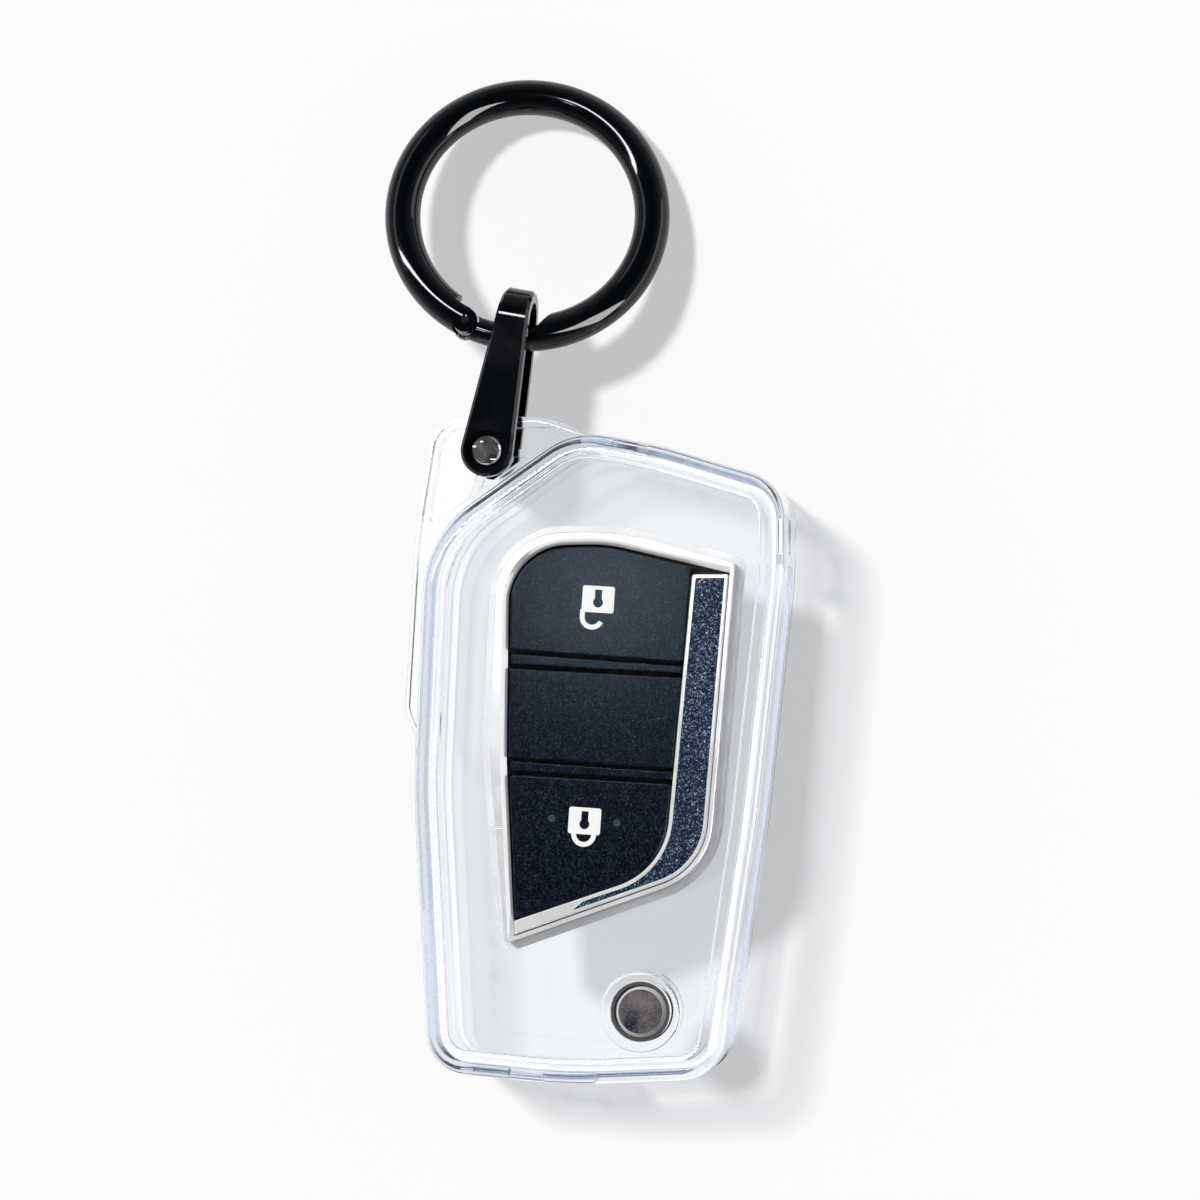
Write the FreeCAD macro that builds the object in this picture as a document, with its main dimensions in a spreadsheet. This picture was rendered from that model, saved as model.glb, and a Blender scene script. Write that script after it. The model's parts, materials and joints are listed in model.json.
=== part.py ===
"""Key fob cover: a clear two-part snap case with its button pad, release button, strap clip and gated ring.

The case lies on its back. X runs across it, Y along it towards the ring, and Z up through the front face.
The origin is the middle of the back face. All lengths are in millimetres.
"""

import FreeCAD, Part
import Sketcher

import math
import os
import re

from FreeCAD import Placement, Rotation, Vector

SIZES = {
    # Clear case
    "case_length": 78.6,
    "case_width": 45.2,
    "case_height": 18.0,
    "parting_height": 9.0,
    "seam_gap": 0.1,
    "case_wall": 1.6,
    "back_wall": 1.6,
    "panel_wall": 1.6,
    "panel_recess": 0.8,
    "rim_width": 3.1,
    "rim_round": 2.0,
    "rim_inner_round": 0.6,
    "back_round": 2.6,
    "cavity_round": 1.0,
    "corner_radius": 5.5,
    "shoulder_radius": 14.0,
    "shoulder_top_radius": 9.5,
    "bow_radius": 60.0,
    # Gap in the right wall for a folding key blade
    "slot_height": 5.0,
    # Snap tongues of the rear shell and their notches in the front shell
    "tongue_length": 4.0,
    "tongue_height": 2.2,
    "tongue_thickness": 1.0,
    "tongue_gap": 0.15,
    # Ear of the rear shell, which carries the strap
    "ear_thickness": 4.6,
    "ear_rim": 1.3,
    "ear_round": 0.6,
    "ear_corner_radius": 4.2,
    "ear_top_radius": 12.0,
    "ear_hook_radius": 3.0,
    "ear_core_depth": 2.4,
    "ear_core_radius": 0.6,
    "ear_boss_radius": 2.9,
    "ear_rib_width": 0.9,
    "ear_rib_length": 7.5,
    "front_gap": 0.2,
    # Window of the front shell and the frame set in it
    "insert_width": 30.05,
    "insert_length": 49.4,
    "insert_corner_radius": 8.0,
    "insert_sweep_radius": 9.0,
    "insert_bow_radius": 60.0,
    "insert_crown_radius": 18.0,
    "insert_point_radius": 0.6,
    "window_gap": 0.1,
    "lip_width": 0.7,
    "lip_height": 0.4,
    "bezel_stand": 0.7,
    "bezel_edge": 0.55,
    "bezel_slope": 0.7,
    "bezel_round": 0.15,
    "flange_width": 1.0,
    "flange_thickness": 1.1,
    "flange_gap": 0.1,
    "base_thickness": 0.8,
    "base_hole_radius": 1.2,
    # Button pad
    "pad_corner_radius": 7.0,
    "pad_gap": 0.15,
    "key_drop": 0.3,
    "key_round": 0.22,
    "key_corner_radius": 0.5,
    "divider_drop": 0.42,
    "groove_width": 0.4,
    "dome_height": 1.0,
    "dome_radius": 3.0,
    "dome_top_radius": 1.8,
    "dome_wall": 0.4,
    "dot_radius": 0.5,
    "dot_height": 0.25,
    "dot_round": 0.2,
    "dot_spacing": 7.9,
    # Padlock signs
    "sign_thickness": 0.1,
    "sign_width": 3.9,
    "sign_body_height": 3.2,
    "sign_corner_radius": 0.3,
    "keyhole_radius": 0.6,
    "keyhole_width": 0.85,
    "keyhole_length": 1.55,
    "shackle_radius": 1.5,
    "shackle_stroke": 0.58,
    # Trim bar beside the pad
    "bar_drop": 0.15,
    "bar_corner_radius": 0.3,
    "bar_round": 0.15,
    "bar_border": 0.45,
    "inlay_depth": 0.3,
    "inlay_drop": 0.08,
    # Round release button
    "release_radius": 3.1,
    "release_bevel": 0.42,
    "release_drop": 0.35,
    "release_flange_radius": 3.7,
    "release_flange_thickness": 0.6,
    "mirror_radius": 2.65,
    "mirror_depth": 0.3,
    "gasket_wall": 0.4,
    "gasket_gap": 0.05,
    "gasket_drop": 0.25,
    "collar_radius": 4.9,
    "collar_stand": 0.7,
    "collar_depth": 1.2,
    "collar_round": 0.45,
    # Strap clip
    "strap_thickness": 1.4,
    "strap_gap": 0.1,
    "strap_length": 20.5,
    "strap_eye_radius": 3.2,
    "strap_end_width": 3.5,
    "strap_bevel": 0.35,
    "strap_recess_radius": 2.4,
    "strap_recess_depth": 0.75,
    "screw_head_radius": 1.95,
    "screw_head_height": 0.85,
    "screw_head_bevel": 0.3,
    "screw_shank_radius": 1.0,
    "screw_cross_length": 2.3,
    "screw_cross_width": 0.55,
    "screw_cross_depth": 0.5,
    "barrel_radius": 1.5,
    "barrel_gap": 0.06,
    "barrel_head_radius": 2.3,
    "barrel_head_height": 0.7,
    "barrel_tip_gap": 0.1,
    # Gated ring
    "ring_diameter": 35.4,
    "ring_tube_radius": 2.2,
    "neck_reach": 14.4,
    "neck_rise": 0.2,
    "gate_cut": 1.2,
    "gate_seam": 0.25,
    "gate_gap": 0.2,
    "hinge_radius": 1.55,
    "cheek_reach": 1.8,
    "tongue_plate": 2.0,
    "tongue_eye_radius": 1.35,
    "tongue_side_gap": 0.06,
    "pin_radius": 0.5,
    "pin_gap": 0.05,
    # How far a cut runs past what it cuts, and how close a point counts as on a line
    "overrun": 5.0,
    "match": 0.002,
}

# Where pieces stand, as shares of the case's width and length, and turns in degrees.
PLACES = {
    "screw_across_share": -0.318,
    "screw_along_share": 0.4815,
    "release_across_share": 0.1173,
    "release_along_share": -0.3816,
    "insert_across_share": 0.0398,
    "insert_along_share": 0.0331,
    "slot_left_share": -0.02,
    "slot_top_share": 0.30,
    "strap_turn_degrees": -10.9,
    "ring_turn_degrees": -5.1,
    "ring_lean_degrees": -32.0,
    "pad_turn_degrees": -4.0,
    "shoulder_degrees": 10.0,
    "hinge_degrees": -22.0,
    "step_degrees": -31.0,
    "hook_end_degrees": -25.0,
}

# Heights and places that follow from the sizes.
LEVELS = {
    "panel_top": "case_height - panel_recess",
    "panel_under": "panel_top - panel_wall",
    "front_bottom": "parting_height + seam_gap",
    "cavity_height": "panel_under - front_bottom",
    "slot_half": "slot_height / 2",
    "ear_bottom": "parting_height - ear_thickness / 2",
    "ear_top": "parting_height + ear_thickness / 2",
    "flange_bottom": "panel_under - flange_gap - flange_thickness",
    "base_bottom": "flange_bottom - base_thickness",
    "bezel_top": "panel_top + bezel_stand",
    "bezel_height": "bezel_top - flange_bottom",
    "key_top": "bezel_top - key_drop",
    "key_bottom": "flange_bottom + dome_height",
    "bar_top": "bezel_top - bar_drop",
    "inlay_thickness": "inlay_depth - inlay_drop",
    "divider_top": "key_top - divider_drop",
    "collar_top": "panel_top + collar_stand",
    "collar_bottom": "panel_under - collar_depth",
    "gasket_inner_radius": "release_radius + gasket_gap",
    "gasket_radius": "gasket_inner_radius + gasket_wall",
    "gasket_top": "collar_top - gasket_drop",
    "release_top": "collar_top - release_drop",
    "release_height": "release_top - collar_bottom",
    "strap_half": "ear_thickness / 2 + strap_gap",
    "strap_outer": "strap_half + strap_thickness",
    "loop_centre": "strap_length - strap_outer",
    "screw_x": "screw_across_share * case_width",
    "screw_y": "screw_along_share * case_length",
    "release_x": "release_across_share * case_width",
    "release_y": "release_along_share * case_length",
    "insert_x": "insert_across_share * case_width",
    "insert_y": "insert_along_share * case_length",
    "ring_radius": "ring_diameter / 2 - ring_tube_radius",
    "gate_radius": "ring_radius + gate_cut / 2",
    "gate_tube_radius": "ring_tube_radius - gate_cut / 2",
}

# Case outline, counter-clockwise from the lower left: shares of its width and length, and a corner radius.
CASE_SHARES = (
    (-0.460, -0.477, "corner_radius"),
    (-0.076, -0.496, "bow_radius"),
    (0.324, -0.484, "corner_radius"),
    (0.427, -0.091, "bow_radius"),
    (0.500, 0.287, "bow_radius"),
    (0.500, 0.422, "corner_radius"),
    (0.171, 0.481, "bow_radius"),
    (-0.0635, 0.508, "shoulder_top_radius"),
    (-0.470, 0.347, "shoulder_radius"),
    (-0.500, -0.038, "bow_radius"),
)

# Ear outline, from the top edge over the corner and down the left side, then back inside the case.
EAR_SHARES = (
    (0.035, 0.494, None),
    (-0.172, 0.535, "ear_top_radius"),
    (-0.469, 0.535, "ear_corner_radius"),
    (-0.521, 0.345, "bow_radius"),
    (-0.548, 0.078, "ear_hook_radius"),
    (-0.486, -0.010, None),
    (-0.300, 0.060, None),
    (-0.100, 0.420, None),
)

# Outline of the whole insert, from its point at the lower left, in shares of the insert's width and length.
INSERT_SHARES = (
    (-0.429, -0.500, "insert_point_radius"),
    (0.391, -0.324, "insert_sweep_radius"),
    (0.500, 0.423, "insert_point_radius"),
    (0.021, 0.500, "insert_crown_radius"),
    (-0.453, 0.500, "insert_corner_radius"),
    (-0.500, -0.012, "insert_bow_radius"),
)

# Outline of the button pad within it, from its own point.
PAD_SHARES = (
    (-0.392, -0.443, "key_corner_radius"),
    (0.213, -0.318, "insert_sweep_radius"),
    (0.330, 0.419, "key_corner_radius"),
    (-0.023, 0.471, "insert_crown_radius"),
    (-0.411, 0.466, "pad_corner_radius"),
    (-0.421, -0.053, "insert_bow_radius"),
)

# Left and right ends of the four grooves across the pad, from the top.
GROOVE_SHARES = (
    ((-0.416, 0.213), (0.284, 0.180)),
    ((-0.409, 0.176), (0.278, 0.152)),
    ((-0.416, -0.049), (0.253, -0.077)),
    ((-0.409, -0.083), (0.240, -0.106)),
)

# Level of the trim bar's top end, and the slanted end of its inlay.
BAR_TOP_SHARES = ((0.500, 0.397), (0.300, 0.397))
INLAY_END_SHARES = ((-0.117, -0.397), (-0.207, -0.443))

# Middle of each padlock sign on the pad.
UNLOCK_SIGN_SHARES = (-0.052, 0.338)
LOCK_SIGN_SHARES = (-0.107, -0.200)
UNLOCK_DOME_SHARES = (-0.060, 0.330)
LOCK_DOME_SHARES = (-0.120, -0.190)

# Snap tongues: the case edge that each stands on, and how far along it.
TONGUE_SHARES = ((4, 0.416), (0, 0.66), (9, 0.50), (6, 0.40))

# Ribs of the ear, by their turn from the X axis in degrees.
EAR_RIB_DEGREES = (-4.0, -109.0)

doc = FreeCAD.newDocument("key_fob_cover")
sheet = doc.addObject("Spreadsheet::Sheet", "sizes")
parts = []


def fill_sheet():
    """Writes every driving size and what follows from it, one row each, and returns them by name."""
    rows = {**SIZES, **PLACES, **LEVELS}
    for row, (name, entry) in enumerate(rows.items(), 1):
        sheet.set(f"A{row}", name)
        sheet.set(f"B{row}", f"={entry}" if name in LEVELS else str(entry))
        sheet.setAlias(f"B{row}", name)
    doc.recompute()
    return {name: float(sheet.get(name)) for name in rows}


mm = fill_sheet()


def bind(thing, setting, formula):
    """Ties a setting to a formula in the sheet's own names."""
    thing.setExpression(setting, re.sub(r"[a-z_]+", lambda word: f"sizes.{word.group()}", formula))


def spot(shares):
    """A point on the insert, from shares of its width and length."""
    across, along = shares[:2]
    return Vector(mm["insert_x"] + across * mm["insert_width"], mm["insert_y"] + along * mm["insert_length"])


def case_point(shares):
    """A point on the case, from shares of its width and length."""
    across, along = shares[:2]
    return Vector(across * mm["case_width"], along * mm["case_length"])


def radius_of(name):
    """The radius with that name, or none for a sharp corner."""
    return mm[name] if name else 0.0


def unit(start, end):
    """The direction from one point to another."""
    return (end - start).normalize()


def meetings(edges):
    """Corners where each edge, moved to its left by its own shift, meets the edge before it."""
    lines = []
    for start, end, shift in edges:
        along = unit(start, end)
        lines.append((start + Vector(-along.y, along.x) * shift, along))
    corners = []
    for (point, along), (other, across) in zip(lines[-1:] + lines[:-1], lines):
        lean = along.x * across.y - along.y * across.x
        gap = other - point
        corners.append(point + along * ((gap.x * across.y - gap.y * across.x) / lean))
    return corners


def closed_edges(outline, shift):
    """The edges of an outline, each moved to its left by the same shift."""
    corners = [corner for corner, radius in outline]
    return [(a, b, shift) for a, b in zip(corners, corners[1:] + corners[:1])]


def moved(outline, inset):
    """The outline moved inwards by an inset, or outwards by a negative one, corners kept parallel."""
    corners = [corner for corner, radius in outline]
    result = []
    for i, corner in enumerate(meetings(closed_edges(outline, inset))):
        before = corners[i] - corners[i - 1]
        after = corners[(i + 1) % len(corners)] - corners[i]
        left_turn = before.x * after.y - before.y * after.x > 0
        radius = outline[i][1]
        shift = -inset if left_turn else inset
        result.append((corner, max(radius + shift, 0.0) if radius else 0.0))
    return result


def stretches(outline):
    """Straight runs and tangent arcs round an outline, given as corners with a radius each."""
    corners = [corner for corner, radius in outline]
    bends = []
    for i, (corner, radius) in enumerate(outline):
        before = unit(corners[i - 1], corner)
        after = unit(corner, corners[(i + 1) % len(corners)])
        turn = math.atan2(before.x * after.y - before.y * after.x, before.dot(after))
        reach = radius * math.tan(abs(turn) / 2)
        rise = radius * (1 / math.cos(turn / 2) - 1)
        middle = corner + unit(before, after) * rise
        bends.append((corner - before * reach, middle, corner + after * reach, radius))
    runs = []
    for i, (start, middle, end, radius) in enumerate(bends):
        if radius:
            runs.append(Part.Arc(start, middle, end))
        runs.append(Part.LineSegment(end, bends[(i + 1) % len(bends)][0]))
    return runs


def box_outline(middle, along, length, width):
    """Four corners of a rectangle about a point, its length along a direction."""
    side = Vector(-along.y, along.x)
    ends = ((-1, -1), (1, -1), (1, 1), (-1, 1))
    return [(middle + along * (a * length / 2) + side * (b * width / 2), 0.0) for a, b in ends]


def named_outline(shares, place):
    """An outline from a table of shares, with each corner's own radius."""
    return [(place(row), radius_of(row[2])) for row in shares]


case = named_outline(CASE_SHARES, case_point)
ear = named_outline(EAR_SHARES, case_point)
insert = named_outline(INSERT_SHARES, spot)
pad = named_outline(PAD_SHARES, spot)
grooves = [(spot(left), spot(right)) for left, right in GROOVE_SHARES]
screw = Vector(mm["screw_x"], mm["screw_y"])
release = Vector(mm["release_x"], mm["release_y"])
overrun = mm["overrun"]


def new_body(name):
    """A body whose label names its node."""
    body = doc.addObject("PartDesign::Body", name)
    body.Label = name
    parts.append(body)
    return body


def new_sketch(body, name, level="", plane="XY_Plane"):
    """A sketch on one of the body's own planes, raised to a level where one is given."""
    sketch = body.newObject("Sketcher::SketchObject", f"{body.Name}_{name}")
    support = next(f for f in body.Origin.OriginFeatures if f.Role == plane)
    sketch.AttachmentSupport = (support, [""])
    sketch.MapMode = "FlatFace"
    if level:
        bind(sketch, "AttachmentOffset.Base.z", level)
    return sketch


def draw(body, name, level, *outlines, plane="XY_Plane"):
    """A sketch of one or more closed outlines."""
    sketch = new_sketch(body, name, level, plane)
    for outline in outlines:
        for run in stretches(outline):
            sketch.addGeometry(run, False)
    return sketch


def draw_circles(body, name, level, centres, radius, play=""):
    """A sketch of circles of one radius, tied to the sheet, with some play added where it is given."""
    sketch = new_sketch(body, name, level)
    for centre in centres:
        place = sketch.addGeometry(Part.Circle(centre, Vector(0, 0, 1), mm[radius]), False)
        rule = sketch.addConstraint(Sketcher.Constraint("Radius", place, mm[radius]))
        bind(sketch, f"Constraints[{rule}]", radius + play)
    return sketch


def feature(kind, body, sketch, name, length="", symmetric=False, upwards=False):
    """A pad or a pocket on a sketch. A pocket with no length goes through everything."""
    made = body.newObject(f"PartDesign::{kind}", f"{body.Name}_{name}")
    made.Profile = sketch
    if length:
        bind(made, "Length", length)
    else:
        made.Type = "ThroughAll"
    if symmetric:
        made.SideType = "Symmetric"
    made.Reversed = upwards
    doc.recompute()
    return made


def raise_pad(body, sketch, name, length, symmetric=False):
    """Material from the sketch upwards."""
    return feature("Pad", body, sketch, name, length, symmetric)


def cut_down(body, sketch, name, length="", symmetric=False):
    """A pocket from the sketch downwards."""
    return feature("Pocket", body, sketch, name, length, symmetric)


def cut_up(body, sketch, name, length=""):
    """A pocket from the sketch upwards."""
    return feature("Pocket", body, sketch, name, length, upwards=True)


def edges_on(shape, outline, level):
    """Names of the edges whose middle lies on an outline at a level."""
    line = Part.Wire([run.toShape() for run in stretches(outline)])
    line.translate(Vector(0, 0, level))
    names = []
    for number, edge in enumerate(shape.Edges, 1):
        middle = Part.Vertex(edge.valueAt((edge.FirstParameter + edge.LastParameter) / 2))
        if middle.distToShape(line)[0] < mm["match"]:
            names.append(f"Edge{number}")
    return names


def ease(kind, body, base, name, edges, size):
    """A fillet or a chamfer on named edges of the feature before it."""
    made = body.newObject(f"PartDesign::{kind}", f"{body.Name}_{name}")
    made.Base = (base, edges)
    bind(made, "Radius" if kind == "Fillet" else "Size", size)
    doc.recompute()
    return made


def spin(body, name, outline, across="", along=""):
    """An outline in X and Z turned all the way round an upright axis, the body's own or one off it."""
    sketch = draw(body, name + "_profile", "", outline, plane="XZ_Plane")
    if across:
        bind(sketch, "AttachmentOffset.Base.x", across)
        bind(sketch, "AttachmentOffset.Base.z", f"-{along}")
    return turn_profile(body, name, sketch, 360)


def tongue_boxes(length, width):
    """Rectangles for the snap tongues, in the middle of the case wall."""
    boxes = []
    for edge, share in TONGUE_SHARES:
        start = case[edge][0]
        end = case[(edge + 1) % len(case)][0]
        along = unit(start, end)
        inwards = Vector(-along.y, along.x)
        middle = start + (end - start) * share + inwards * (mm["case_wall"] / 2)
        boxes.append(box_outline(middle, along, length, width))
    return boxes


def blade_slot():
    """The part of the case, right of and below a corner, whose wall stands open for a key blade."""
    left = mm["slot_left_share"] * mm["case_width"]
    top = mm["slot_top_share"] * mm["case_length"]
    right = mm["case_width"] / 2 + overrun
    bottom = -mm["case_length"] / 2 - overrun
    return [(Vector(x, y), 0.0) for x, y in ((left, bottom), (right, bottom), (right, top), (left, top))]


def make_rear_shell():
    """Tray with a rounded back edge, and the ear that stands out at its upper left."""
    body = new_body("rear_shell")
    tray = raise_pad(body, draw(body, "outline", "", case), "tray", "parting_height")
    ease("Fillet", body, tray, "back_edge", edges_on(tray.Shape, case, 0), "back_round")
    raise_pad(body, draw(body, "ear_outline", "ear_bottom", ear), "ear", "ear_thickness")
    front = draw(body, "front_outline", "parting_height", moved(case, -mm["front_gap"]))
    cut_up(body, front, "front_room")
    inside = moved(case, mm["case_wall"])
    sketch = draw(body, "room_outline", "parting_height", inside)
    room = cut_down(body, sketch, "room", "parting_height - back_wall")
    edges = edges_on(room.Shape, inside, mm["back_wall"])
    room = ease("Fillet", body, room, "room_edge", edges, "cavity_round")
    for level in ("ear_top", "ear_bottom"):
        edges = edges_on(room.Shape, ear, mm[level])
        room = ease("Fillet", body, room, f"{level}_edge", edges, "ear_round")
    core = meetings([
        (ear[1][0], ear[2][0], mm["ear_rim"]),
        (ear[2][0], ear[3][0], mm["ear_rim"]),
        (case[8][0], case[7][0], mm["front_gap"] + mm["ear_rim"]),
    ])
    radii = (mm["ear_core_radius"], mm["ear_corner_radius"] - mm["ear_rim"], mm["ear_core_radius"])
    cut_down(body, draw(body, "core", "ear_top", list(zip(core, radii))), "ear_core", "ear_core_depth")
    floor = "ear_top - ear_core_depth"
    boss = draw_circles(body, "boss", floor, [screw], "ear_boss_radius")
    raise_pad(body, boss, "ear_boss", "ear_core_depth")
    for number, degrees in enumerate(EAR_RIB_DEGREES, 1):
        along = Vector(math.cos(math.radians(degrees)), math.sin(math.radians(degrees)))
        middle = screw + along * (mm["ear_rib_length"] / 2)
        rib = box_outline(middle, along, mm["ear_rib_length"], mm["ear_rib_width"])
        raise_pad(body, draw(body, f"rib_{number}", floor, rib), f"ear_rib_{number}", "ear_core_depth")
    front = draw(body, "rib_limit", "parting_height", moved(case, -mm["front_gap"]))
    cut_up(body, front, "rib_ends")
    bore = draw_circles(body, "screw_bore", "ear_top", [screw], "barrel_radius", " + barrel_gap")
    cut_down(body, bore, "screw_hole")
    cut_down(body, draw(body, "slot", "parting_height", blade_slot()), "blade_slot", "slot_half")
    tongues = tongue_boxes(mm["tongue_length"], mm["tongue_thickness"])
    raise_pad(body, draw(body, "tongues", "parting_height", *tongues), "snap_tongues", "tongue_height")


def make_front_shell():
    """Cover with a rounded rim, a sunk panel, the window with its lip, and the release button's collar."""
    body = new_body("front_shell")
    block = raise_pad(
        body, draw(body, "outline", "front_bottom", case), "block", "case_height - front_bottom"
    )
    block = ease("Fillet", body, block, "rim", edges_on(block.Shape, case, mm["case_height"]), "rim_round")
    panel = moved(case, mm["rim_width"])
    block = cut_down(body, draw(body, "panel", "case_height", panel), "panel_recess", "panel_recess")
    edges = edges_on(block.Shape, panel, mm["case_height"])
    ease("Fillet", body, block, "rim_inside", edges, "rim_inner_round")
    inside = moved(case, mm["case_wall"])
    room = cut_up(body, draw(body, "room_outline", "front_bottom", inside), "room", "cavity_height")
    ease("Fillet", body, room, "room_edge", edges_on(room.Shape, inside, mm["panel_under"]), "cavity_round")
    low, high, wide = mm["collar_bottom"], mm["collar_top"], mm["collar_radius"]
    collar = [(Vector(x, z), 0.0) for x, z in ((0, low), (wide, low), (wide, high), (0, high))]
    collar[2] = (collar[2][0], mm["collar_round"])
    spin(body, "collar", collar, across="release_x", along="release_y")
    bore = draw_circles(body, "release_bore", "collar_top", [release], "gasket_radius", " + gasket_gap")
    cut_down(body, bore, "release_hole")
    window = moved(insert, -mm["window_gap"])
    lip = moved(window, -mm["lip_width"])
    raise_pad(body, draw(body, "lip", "panel_top", lip), "window_lip", "lip_height")
    cut_down(body, draw(body, "window", "panel_top + lip_height", window), "window_hole")
    cut_up(body, draw(body, "slot", "parting_height", blade_slot()), "blade_slot", "slot_half")
    notches = tongue_boxes(mm["tongue_length"] + 2 * mm["tongue_gap"], 2 * mm["case_wall"])
    sketch = draw(body, "notches", "parting_height", *notches)
    cut_up(body, sketch, "snap_notches", "tongue_height + tongue_gap")


def bezel_opening():
    """Inner edge of the frame: round the pad on the left and top, near the insert's edge on the rest."""
    edges = [
        (insert[0][0], insert[1][0], mm["bezel_edge"]),
        (insert[1][0], insert[2][0], mm["bezel_edge"]),
        (pad[2][0], pad[3][0], -mm["pad_gap"]),
        (pad[3][0], pad[4][0], -mm["pad_gap"]),
        (pad[4][0], pad[5][0], -mm["pad_gap"]),
        (pad[5][0], pad[0][0], -mm["pad_gap"]),
    ]
    radii = (
        0.0,
        mm["insert_sweep_radius"] - mm["bezel_edge"],
        0.0,
        mm["insert_crown_radius"],
        mm["pad_corner_radius"] + mm["pad_gap"],
        mm["insert_bow_radius"],
    )
    return list(zip(meetings(edges), radii))


def make_bezel_frame():
    """Bright frame round the pad, sloped inwards on its left and top, with a flange under the panel."""
    body = new_body("bezel_frame")
    frame = raise_pad(body, draw(body, "outline", "flange_bottom", insert), "frame", "bezel_height")
    frame = ease("Fillet", body, frame, "edge", edges_on(frame.Shape, insert, mm["bezel_top"]), "bezel_round")
    flange = moved(insert, -mm["flange_width"])
    raise_pad(body, draw(body, "flange_outline", "flange_bottom", flange), "flange", "flange_thickness")
    opening = bezel_opening()
    frame = cut_down(body, draw(body, "opening", "bezel_top", opening), "opening_hole")
    edges = edges_on(frame.Shape, opening, mm["bezel_top"])
    wide = [name for name in edges if left_or_top(frame.Shape.getElement(name))]
    ease("Chamfer", body, frame, "slope", wide, "bezel_slope")


def left_or_top(edge):
    """Whether an edge of the frame's opening runs beside the pad and not beside the trim bar."""
    middle = edge.valueAt((edge.FirstParameter + edge.LastParameter) / 2)
    line = Part.Wire([run.toShape() for run in stretches(moved(pad, -mm["pad_gap"]))])
    line.translate(Vector(0, 0, middle.z))
    return Part.Vertex(middle).distToShape(line)[0] < mm["pad_gap"]


def make_keypad_base():
    """Backing plate under the frame and the pad, with a hole under each key for the finger's push."""
    body = new_body("keypad_base")
    raise_pad(body, draw(body, "outline", "base_bottom", insert), "plate", "base_thickness")
    centres = [spot(UNLOCK_DOME_SHARES), spot(LOCK_DOME_SHARES)]
    cut_down(body, draw_circles(body, "holes", "flange_bottom", centres, "base_hole_radius"), "key_holes")


def pad_edge(index):
    """One edge of the pad's outline, as an edge to shift."""
    return pad[index][0], pad[(index + 1) % len(pad)][0]


def field(edges, radii):
    """Part of the pad between some of its edges and its grooves."""
    return list(zip(meetings(edges), radii))


def make_field(name, outline, bottom, top):
    """One field of the pad: a block with softened top edges."""
    body = new_body(name)
    block = raise_pad(body, draw(body, "outline", bottom, outline), "block", f"{top} - {bottom}")
    return ease("Fillet", body, block, "edge", edges_on(block.Shape, outline, mm[top]), "key_round")


def make_pad():
    """The pad's five fields from top to bottom: unlock key, divider, blank, divider and lock key."""
    half = mm["groove_width"] / 2
    gap = mm["pad_gap"]
    small = mm["key_corner_radius"]
    under = [(right, left) for left, right in grooves]
    right = pad_edge(1)
    upper_left = pad_edge(4)
    lower_left = pad_edge(5)
    unlock = field(
        [(*grooves[0], half), (*right, gap), (*pad_edge(2), gap), (*pad_edge(3), gap), (*upper_left, gap)],
        (small, small, small, mm["insert_crown_radius"], mm["pad_corner_radius"] - gap),
    )
    make_field("unlock_key", unlock, "key_bottom", "key_top")
    bands = (
        ("divider_upper", 1, 0, upper_left, "divider_top"),
        ("blank_key", 2, 1, upper_left, "key_top"),
        ("divider_lower", 3, 2, lower_left, "divider_top"),
    )
    for name, lower, upper, left, top in bands:
        edges = [(*grooves[lower], half), (*right, gap), (*under[upper], half), (*left, gap)]
        make_field(name, field(edges, (0.0,) * 4), "flange_bottom", top)
    lock = field(
        [(*pad_edge(0), gap), (*right, gap), (*under[3], half), (*lower_left, gap)],
        (small, mm["insert_sweep_radius"] - gap, small, small),
    )
    body = make_field("lock_key", lock, "key_bottom", "key_top").getParent()
    middle = spot(LOCK_SIGN_SHARES)
    turn = math.radians(mm["pad_turn_degrees"])
    reach = Vector(math.cos(turn), math.sin(turn)) * (mm["dot_spacing"] / 2)
    sketch = draw_circles(body, "dots", "key_top", [middle - reach, middle + reach], "dot_radius")
    dots = raise_pad(body, sketch, "dots", "dot_height")
    top = mm["key_top"] + mm["dot_height"]
    lows = [edge.BoundBox.ZMin for edge in dots.Shape.Edges]
    edges = [f"Edge{number}" for number, low in enumerate(lows, 1) if abs(low - top) < mm["match"]]
    ease("Fillet", body, dots, "dot_edge", edges, "dot_round")


def make_dome(name, shares):
    """Silicone dome under a key: a hollow cone frustum with a closed top."""
    body = new_body(name)
    height = mm["dome_height"]
    wall = mm["dome_wall"]
    profile = (
        (mm["dome_radius"] - wall, 0),
        (mm["dome_radius"], 0),
        (mm["dome_top_radius"], height),
        (0, height),
        (0, height - wall),
        (mm["dome_top_radius"] - wall, height - wall),
    )
    spin(body, "cone", [(Vector(x, z), 0.0) for x, z in profile])
    body.Placement = Placement(spot(shares) + Vector(0, 0, mm["flange_bottom"]), Rotation())


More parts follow.
